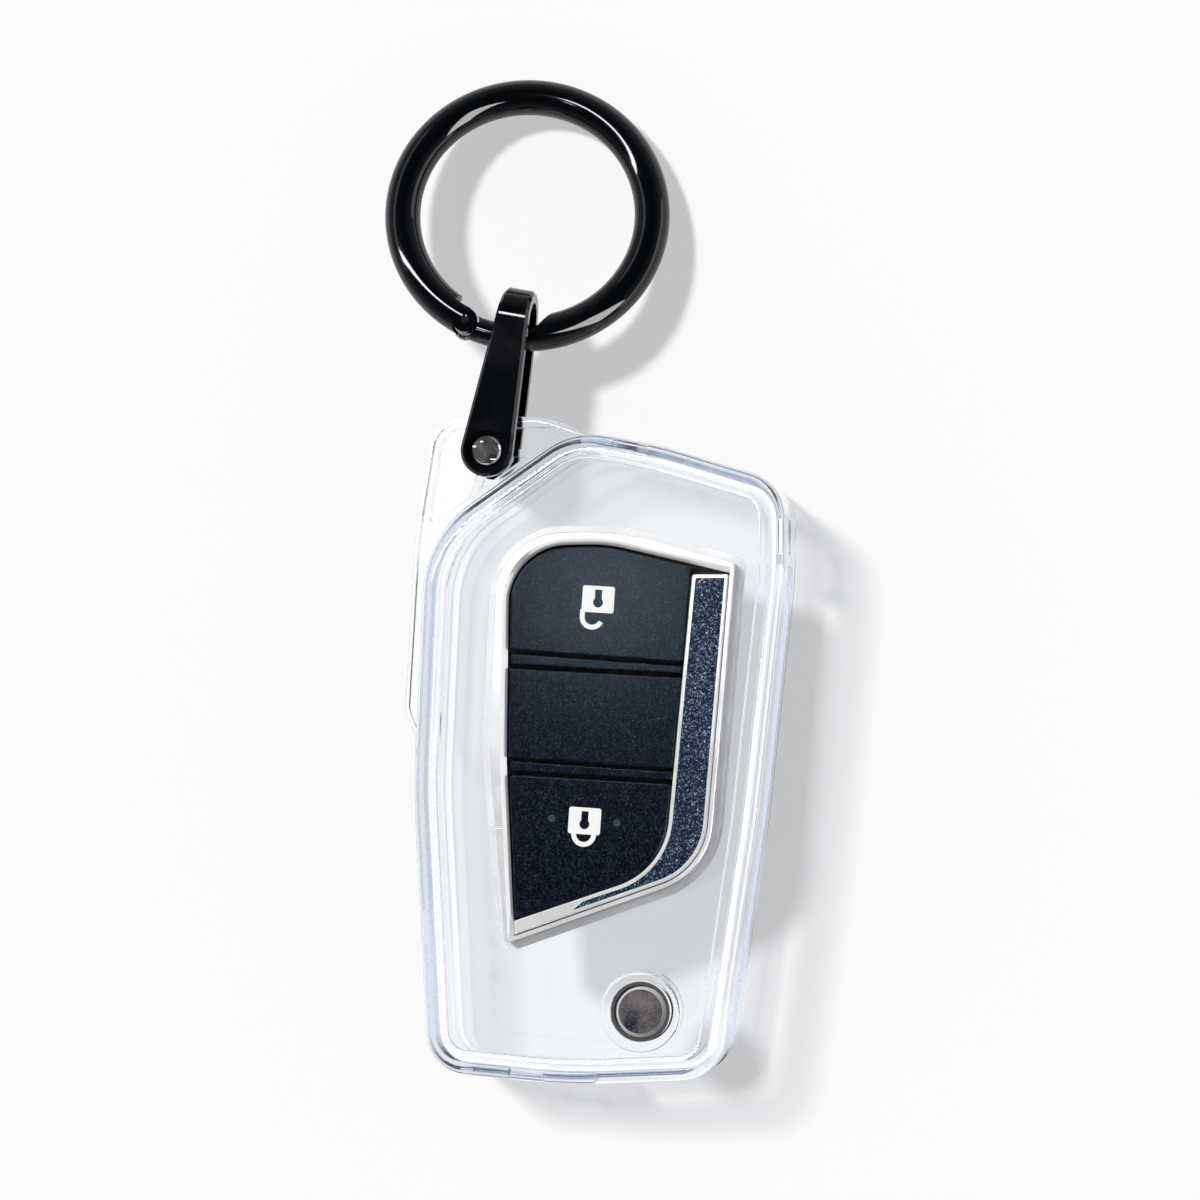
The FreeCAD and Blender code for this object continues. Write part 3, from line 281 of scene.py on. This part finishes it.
def finish_glitter():
    """Dark blue film of fine flakes, each of its own shade, and a few larger bright ones."""
    made, tree, shader, _ = new_material("glitter_film")
    small = place_group(tree, moulded_grain, Scale=6400.0)
    large = place_group(tree, moulded_grain, Scale=3600.0, Fleck_Share=0.04)
    shade = reckon(tree, "POWER", small["Shade"], 5.0)
    film = blend_colours(tree, shade, (0.003, 0.010, 0.030), (0.180, 0.250, 0.360))
    flake = reckon(tree, "MAXIMUM", shade, large["Fleck"])
    feed(
        tree, shader,
        Base_Color=blend_colours(tree, large["Fleck"], film, (0.55, 0.62, 0.72)),
        Metallic=reckon(tree, "MULTIPLY", flake, 0.5),
        Roughness=stretch(tree, flake, 0.0, 1.0, 0.30, 0.45),
        Specular_IOR_Level=0.08,
        Coat_Weight=0.05,
        Coat_Roughness=0.08,
    )
    bump(tree, shader, flake, 0.00003, 0.7)
    return made


def finish_silicone():
    """Dark matt silicone."""
    made, tree, shader, _ = new_material("silicone")
    grain = place_group(tree, moulded_grain, Scale=1800.0)
    dark = blend_colours(tree, grain["Tone"], (0.010, 0.010, 0.012), (0.022, 0.022, 0.026))
    matt = stretch(tree, grain["Height"], 0.3, 0.7, 0.45, 0.65)
    feed(tree, shader, Base_Color=dark, Roughness=matt)
    bump(tree, shader, grain["Height"], 0.00002, 0.4)
    return made


def finish_mirror():
    """Dark mirror with faint smears and fine flecks; the pale brown of the smears is partly a painted
    reflection.
    """
    made, tree, shader, _ = new_material("dark_mirror")
    marks = place_group(
        tree, handling_marks, Smooth=0.06, Rough=0.20, Smudge_Scale=330.0, Hairlines=0.0
    )
    fleck = place_group(tree, moulded_grain, Scale=7000.0, Fleck_Share=0.16)["Fleck"]
    # Painted reflection: the smear mask lays a pale brown tone over the dark mirror, standing partly
    # for smears and partly for reflections in it.
    smear_and_reflection = blend_colours(tree, marks["Smear"], (0.028, 0.042, 0.072), (0.270, 0.235, 0.230))
    flecked = blend_colours(tree, fleck, smear_and_reflection, (0.52, 0.56, 0.62))
    feed(tree, shader, Base_Color=flecked, Roughness=marks["Roughness"], Metallic=0.35)
    return made


def finish_black_metal():
    """Gloss black plated metal with light handling marks."""
    made, tree, shader, _ = new_material("black_metal")
    marks = place_group(
        tree, handling_marks, Smooth=0.05, Rough=0.11, Smudge_Scale=150.0, Hairlines=0.0
    )
    tone = place_group(tree, moulded_grain)["Tone"]
    feed(
        tree, shader,
        Base_Color=blend_colours(tree, tone, (0.0008, 0.0014, 0.0026), (0.0016, 0.0026, 0.0046)),
        Roughness=marks["Roughness"],
        Specular_IOR_Level=0.25,
        Coat_Weight=0.25,
        Coat_Roughness=0.04,
    )
    bump(tree, shader, marks["Smear"], 0.000003)
    return made


def finish_steel():
    """Polished steel with hairlines and smudges."""
    made, tree, shader, _ = new_material("bright_steel")
    marks = place_group(tree, handling_marks, Smooth=0.05, Rough=0.12, Smudge_Scale=500.0)
    tone = place_group(tree, moulded_grain)["Tone"]
    steel = blend_colours(tree, tone, (0.44, 0.44, 0.45), (0.62, 0.62, 0.63))
    feed(tree, shader, Base_Color=steel, Roughness=marks["Roughness"], Metallic=1.0)
    bump(tree, shader, marks["Height"], 0.000006)
    return made


finishes = {
    "clear_plastic": finish_clear(),
    "bright_trim": finish_bright(),
    "black_plastic": finish_pad(),
    "base_plastic": finish_base(),
    "white_print": finish_print(),
    "glitter_film": finish_glitter(),
    "silicone": finish_silicone(),
    "dark_mirror": finish_mirror(),
    "black_metal": finish_black_metal(),
    "bright_steel": finish_steel(),
}
for subpart in frame["record"]["subparts"]:
    mesh = nodes[subpart["node"]].data
    mesh.materials.clear()
    mesh.materials.append(finishes[subpart["material_slot"]])


def make_floor():
    """Pale table top: white to the eye, in mirrors and through clear plastic, shaded by the lamps."""
    half_width = 1.6
    level = -0.0003  # just below the back face that lies on it
    seen_glow, through_glow = 0.51, 0.64
    mesh = bpy.data.meshes.new("table_top")
    corners = [(x * half_width, y * half_width, level) for x, y in ((-1, -1), (1, -1), (1, 1), (-1, 1))]
    mesh.from_pydata(corners, [], [(0, 1, 2, 3)])
    floor = bpy.data.objects.new("table_top", mesh)
    scene.collection.objects.link(floor)
    made = bpy.data.materials.new("table_top")
    tree = clean_tree(made)
    matt = add(tree, "ShaderNodeBsdfDiffuse", Color=(0.50, 0.50, 0.497))
    path = light_path(tree)
    seen = reckon(tree, "MAXIMUM", path["Is Camera Ray"], path["Is Glossy Ray"])
    strength = reckon(
        tree, "MAXIMUM",
        reckon(tree, "MULTIPLY", seen, seen_glow),
        reckon(tree, "MULTIPLY", path["Is Transmission Ray"], through_glow),
    )
    strength = reckon(tree, "MULTIPLY", strength, before_bounce(tree, path))
    glow = add(tree, "ShaderNodeEmission", Color=(0.975, 0.99, 1.01), Strength=strength)
    both = tree.nodes.new("ShaderNodeAddShader")
    tree.links.new(matt.outputs[0], both.inputs[0])
    tree.links.new(glow.outputs[0], both.inputs[1])
    add(tree, "ShaderNodeOutputMaterial", Surface=both.outputs[0])
    mesh.materials.append(made)


def make_world():
    """Room: dark overhead, pale at the sides, and plain white to the eye and through clear plastic."""
    at_sides, overhead = (0.46, 0.47, 0.50), (0.02, 0.021, 0.024)
    white = (1.0, 1.0, 0.99)
    scene.world = bpy.data.worlds.new("studio")
    tree = clean_tree(scene.world)
    aim = add(tree, "ShaderNodeTexCoord").outputs["Generated"]
    height = add(tree, "ShaderNodeSeparateXYZ", Vector=aim).outputs["Z"]
    room = blend_colours(tree, stretch(tree, height, 0.0, 0.8), at_sides, overhead)
    path = light_path(tree)
    seen = reckon(tree, "MAXIMUM", path["Is Camera Ray"], path["Is Transmission Ray"])
    seen = reckon(tree, "MULTIPLY", seen, before_bounce(tree, path))
    sky = add(tree, "ShaderNodeBackground", Color=blend_colours(tree, seen, room, white))
    add(tree, "ShaderNodeOutputWorld", Surface=sky.outputs[0])


def turned(back, along):
    """The turn of a lamp whose back points one way and whose width runs along another."""
    back = Vector(back).normalized()
    width = Vector(along)
    width = (width - back * width.dot(back)).normalized()
    return Matrix((width, back.cross(width), back)).transposed().to_4x4()


def add_key(towards, level, spread):
    """The key light, far off and so even over the table. It gives a white sheet the level given."""
    lamp = bpy.data.lights.new("key", "SUN")
    lamp.angle = spread
    lamp.energy = level * math.pi / Vector(towards).normalized().z
    lamp.color = (1.0, 0.990, 0.965)
    made = bpy.data.objects.new("key", lamp)
    made.matrix_world = Matrix.Translation(Vector(towards)) @ turned(towards, (1.0, 0.0, 0.0))
    made.visible_glossy = False
    made.visible_transmission = False
    scene.collection.objects.link(made)


def add_card(name, place, along, wide, tall, brightness):
    """A soft box or white card of even brightness that faces the object and shows in its gloss."""
    middle = Vector((0.0, 0.02, 0.01))
    lamp = bpy.data.lights.new(name, "AREA")
    lamp.shape = "RECTANGLE"
    lamp.size, lamp.size_y = wide, tall
    lamp.energy = brightness * math.pi * wide * tall
    tree = clean_tree(lamp)
    glow = add(tree, "ShaderNodeEmission", Strength=before_bounce(tree, light_path(tree)))
    add(tree, "ShaderNodeOutputLight", Surface=glow.outputs[0])
    made = bpy.data.objects.new(name, lamp)
    made.matrix_world = Matrix.Translation(Vector(place)) @ turned(Vector(place) - middle, along)
    made.visible_diffuse = False
    made.visible_transmission = False
    scene.collection.objects.link(made)


def make_lamps():
    """Key from the upper left, and the strips and cards that draw the lines on the gloss."""
    add_key(towards=(-0.54, 0.44, 1.0), level=0.82, spread=0.13)
    # Name, place, direction of the width, width, height, brightness
    cards = (
        ("long_strip", (-0.31, 0.20, 0.60), (1.0, 0.0, 0.0), 0.66, 0.075, 34.0),
        ("low_box", (0.333, -0.163, 0.40), (0.56, 0.83, 0.0), 0.20, 0.46, 14.0),
        ("pad_box", (-0.081, 0.048, 0.57), (1.0, 0.0, 0.0), 0.030, 0.020, 36.0),
        ("left_card", (-0.60, 0.42, 0.50), (0.57, 0.82, 0.0), 0.90, 0.16, 1.2),
        ("right_card", (0.75, 0.02, 0.14), (0.0, 1.0, 0.0), 0.90, 0.22, 1.6),
        ("front_card", (0.0, -0.75, 0.14), (1.0, 0.0, 0.0), 0.90, 0.22, 1.6),
    )
    for card in cards:
        add_card(*card)


def make_camera():
    """Camera almost overhead, a little to the right and below, as in the photograph."""
    aim = Vector((0.0005, 0.0192, 0.0180))
    distance = 0.450
    seen_width = 0.144
    to_right, to_front = math.radians(8.5), math.radians(2.5)
    back = Vector((math.tan(to_right), -math.tan(to_front), 1.0)).normalized()
    right = Vector((0.0, 1.0, 0.0)).cross(back).normalized()
    up = back.cross(right)
    camera = bpy.data.cameras.new("camera")
    camera.sensor_width = 36.0
    camera.lens = camera.sensor_width * distance / seen_width
    camera.clip_start = 0.01
    made = bpy.data.objects.new("camera", camera)
    turn = Matrix((right, up, back)).transposed().to_4x4()
    made.matrix_world = Matrix.Translation(aim + back * distance) @ turn
    scene.collection.objects.link(made)
    scene.camera = made


make_floor()
make_world()
make_lamps()
make_camera()
